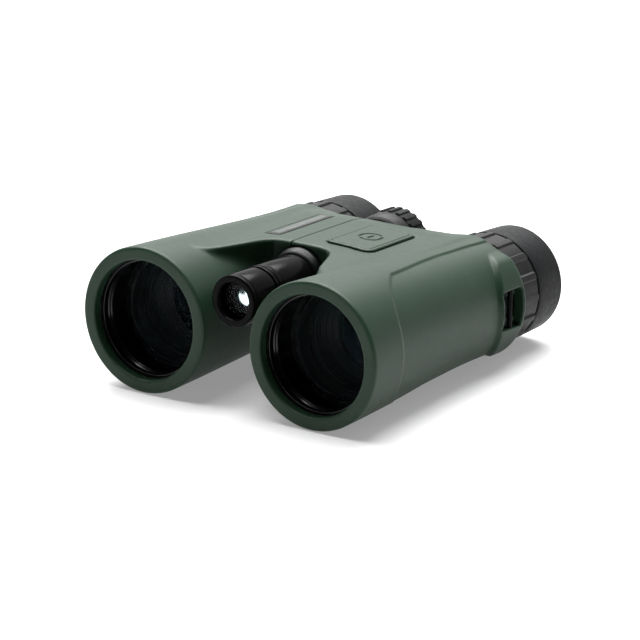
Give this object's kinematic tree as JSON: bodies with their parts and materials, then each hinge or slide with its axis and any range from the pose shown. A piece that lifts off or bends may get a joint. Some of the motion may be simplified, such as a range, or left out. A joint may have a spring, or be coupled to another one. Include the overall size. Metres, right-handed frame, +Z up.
{
  "type": "laser rangefinder",
  "caption": "Rubber-armoured laser rangefinder binocular: folding roof-prism barrels, laser emitter tube in the bridge notch, focus wheel, ranging button, twist-up eyecups.",
  "frame": {"origin": "under the middle of the object, level with the lowest point of the objective rims, on the hinge plane", "axes": "+Y from the objectives to the eyepieces, +Z up, +X to the user's left"},
  "size_m": [0.13, 0.1352, 0.055],
  "materials": {
    "armor_rubber": "matte fine-grained",
    "cup_rubber": "matte",
    "black_anodised": "satin black anodised",
    "black_plastic": "matte black",
    "grey_plastic": "matte dark grey",
    "painted_casting": "matte black painted magnesium casting",
    "steel": "brushed",
    "brass": "turned",
    "coated_glass": "anti-reflection coated",
    "board_laminate": "solder mask",
    "battery_wrap": "shrink wrap",
    "silver_plate": "satin"
  },
  "bodies": {
    "right_half": {"right_armor": "armor_rubber", "right_chassis": "painted_casting", "right_retaining_ring": "black_anodised", "right_objective_crown": "coated_glass", "right_objective_flint": "coated_glass", "right_light_baffle": "black_plastic", "right_prism_cage": "black_plastic", "right_penta_prism": "coated_glass", "right_roof_prism": "coated_glass", "right_eyepiece_tube": "black_anodised", "right_strap_bar": "black_anodised", "nameplate": "silver_plate", "light_receiver": "steel", "emitter_bezel": "grey_plastic", "emitter_window": "coated_glass", "emitter_tube_front": "black_anodised", "emitter_lock_ring": "black_anodised", "emitter_tube_rear": "black_anodised", "laser_module": "brass", "hinge_collar": "black_anodised", "hinge_axle": "steel", "battery": "battery_wrap", "battery_spring": "steel", "hinge_bearing": "black_anodised"},
    "left_half": {"left_armor": "armor_rubber", "left_chassis": "painted_casting", "left_retaining_ring": "black_anodised", "left_objective_crown": "coated_glass", "left_objective_flint": "coated_glass", "left_light_baffle": "black_plastic", "left_prism_cage": "black_plastic", "left_penta_prism": "coated_glass", "left_roof_prism": "coated_glass", "left_eyepiece_tube": "black_anodised", "left_strap_bar": "black_anodised", "button_switch": "black_plastic", "circuit_board": "board_laminate", "display_module": "black_plastic"},
    "focus_wheel": {"focus_spindle": "grey_plastic", "focus_grip": "cup_rubber"},
    "focus_spool": {"focus_spool": "brass"},
    "range_button": {"range_button": "armor_rubber"},
    "right_focusing_group": {"right_focusing_cell": "black_anodised", "right_focusing_lens": "coated_glass"},
    "right_diopter": {"right_diopter_ring": "grey_plastic"},
    "right_ocular": {"right_ocular_cell": "black_anodised", "right_field_lens": "coated_glass", "right_eye_lens": "coated_glass"},
    "right_cup_slide": {"right_eyecup_guide": "black_plastic"},
    "right_cup_turn": {"right_eyecup": "cup_rubber"},
    "left_focusing_group": {"left_focusing_cell": "black_anodised", "left_focusing_lens": "coated_glass"},
    "left_diopter": {"left_diopter_ring": "grey_plastic"},
    "left_ocular": {"left_ocular_cell": "black_anodised", "left_field_lens": "coated_glass", "left_eye_lens": "coated_glass"},
    "left_cup_slide": {"left_eyecup_guide": "black_plastic"},
    "left_cup_turn": {"left_eyecup": "cup_rubber"}
  },
  "joints": [
    {"name": "fold", "type": "hinge", "parent": "right_half", "child": "left_half", "pos_m": [0, 0, 0.0404], "axis": [0, 1, 0], "range_deg": [0, 52]},
    {"name": "focus_turn", "type": "hinge", "parent": "right_half", "child": "focus_wheel", "pos_m": [0, 0, 0.0404], "axis": [0, 1, 0], "range_deg": [-190, 190]},
    {"name": "spool_slide", "type": "slide", "parent": "right_half", "child": "focus_spool", "axis": [0, 1, 0], "range_m": [-0.0025, 0.0025]},
    {"name": "right_focus_slide", "type": "slide", "parent": "right_half", "child": "right_focusing_group", "axis": [0, 1, 0], "range_m": [-0.0025, 0.0025]},
    {"name": "right_diopter_turn", "type": "hinge", "parent": "right_half", "child": "right_diopter", "pos_m": [-0.0375, 0, 0.0275], "axis": [0, 1, 0], "range_deg": [-60, 60]},
    {"name": "right_ocular_slide", "type": "slide", "parent": "right_half", "child": "right_ocular", "axis": [0, 1, 0], "range_m": [-0.0012, 0.0012]},
    {"name": "right_cup_rise", "type": "slide", "parent": "right_half", "child": "right_cup_slide", "axis": [0, 1, 0], "range_m": [0, 0.0115]},
    {"name": "right_cup_twist", "type": "hinge", "parent": "right_cup_slide", "child": "right_cup_turn", "pos_m": [-0.0375, 0, 0.0275], "axis": [0, 1, 0], "range_deg": [0, 100]},
    {"name": "left_focus_slide", "type": "slide", "parent": "left_half", "child": "left_focusing_group", "axis": [0, 1, 0], "range_m": [-0.0025, 0.0025]},
    {"name": "left_diopter_turn", "type": "hinge", "parent": "left_half", "child": "left_diopter", "pos_m": [0.0375, 0, 0.0275], "axis": [0, 1, 0], "range_deg": [-60, 60]},
    {"name": "left_ocular_slide", "type": "slide", "parent": "left_half", "child": "left_ocular", "axis": [0, 1, 0], "range_m": [-0.0012, 0.0012]},
    {"name": "left_cup_rise", "type": "slide", "parent": "left_half", "child": "left_cup_slide", "axis": [0, 1, 0], "range_m": [0, 0.0115]},
    {"name": "left_cup_twist", "type": "hinge", "parent": "left_cup_slide", "child": "left_cup_turn", "pos_m": [0.0375, 0, 0.0275], "axis": [0, 1, 0], "range_deg": [0, 100]},
    {"name": "button_press", "type": "slide", "parent": "left_half", "child": "range_button", "axis": [0, 0, -1], "range_m": [0, 0.0008], "stiffness_N_per_m": 1500}
  ],
  "couplings": [
    {"joint": "focus_turn", "follows": "spool_slide", "rad_per_m": 1326},
    {"joint": "right_focus_slide", "follows": "spool_slide", "ratio": 1},
    {"joint": "right_diopter_turn", "follows": "right_ocular_slide", "rad_per_m": 872},
    {"joint": "right_cup_twist", "follows": "right_cup_rise", "rad_per_m": 151},
    {"joint": "left_focus_slide", "follows": "spool_slide", "ratio": 1},
    {"joint": "left_diopter_turn", "follows": "left_ocular_slide", "rad_per_m": 872},
    {"joint": "left_cup_twist", "follows": "left_cup_rise", "rad_per_m": 151}
  ]
}
